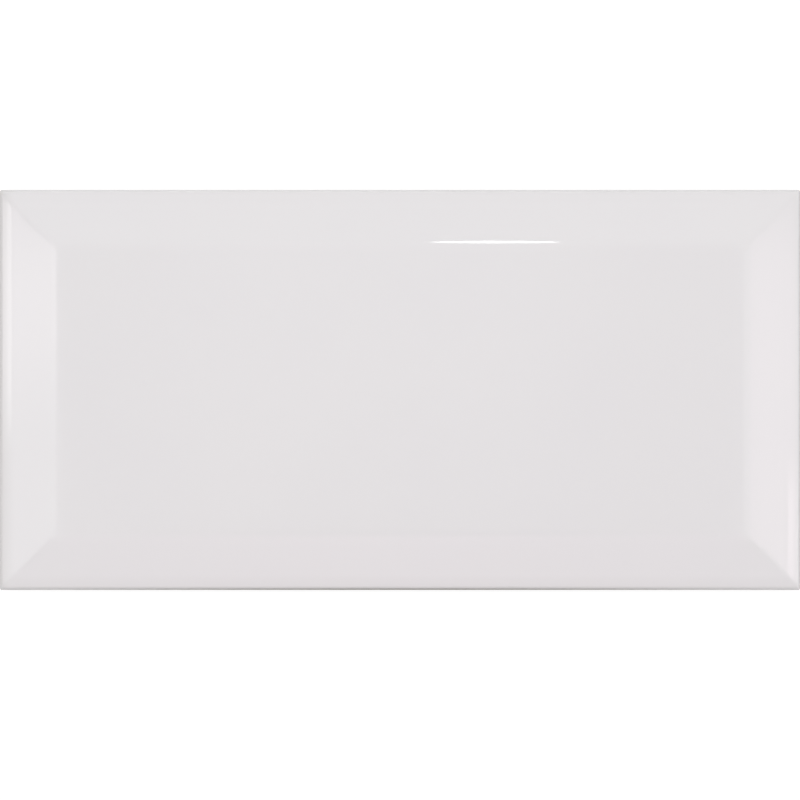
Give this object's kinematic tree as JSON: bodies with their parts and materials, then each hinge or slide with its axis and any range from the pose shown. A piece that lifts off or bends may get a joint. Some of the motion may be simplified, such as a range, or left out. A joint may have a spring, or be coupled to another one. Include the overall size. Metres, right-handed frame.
{
  "type": "bevelled subway wall tile",
  "caption": "Oblong glazed ceramic wall tile with a flat raised field, mitred bevels on all sides, softened arrises and a keyed unglazed back, for bedding on a wall.",
  "frame": {"origin": "centre of the back, on the plane that the tile lies and is bedded on", "axes": "+X along the length, +Y along the width, +Z out of the glazed face"},
  "size_m": [0.2, 0.1, 0.0075],
  "materials": {
    "white_gloss_glaze": "white gloss glaze on the face and rim, bare fired clay on the lower sides and back"
  },
  "bodies": {
    "root": {"bevelled_wall_tile": "white_gloss_glaze"}
  },
  "joints": []
}
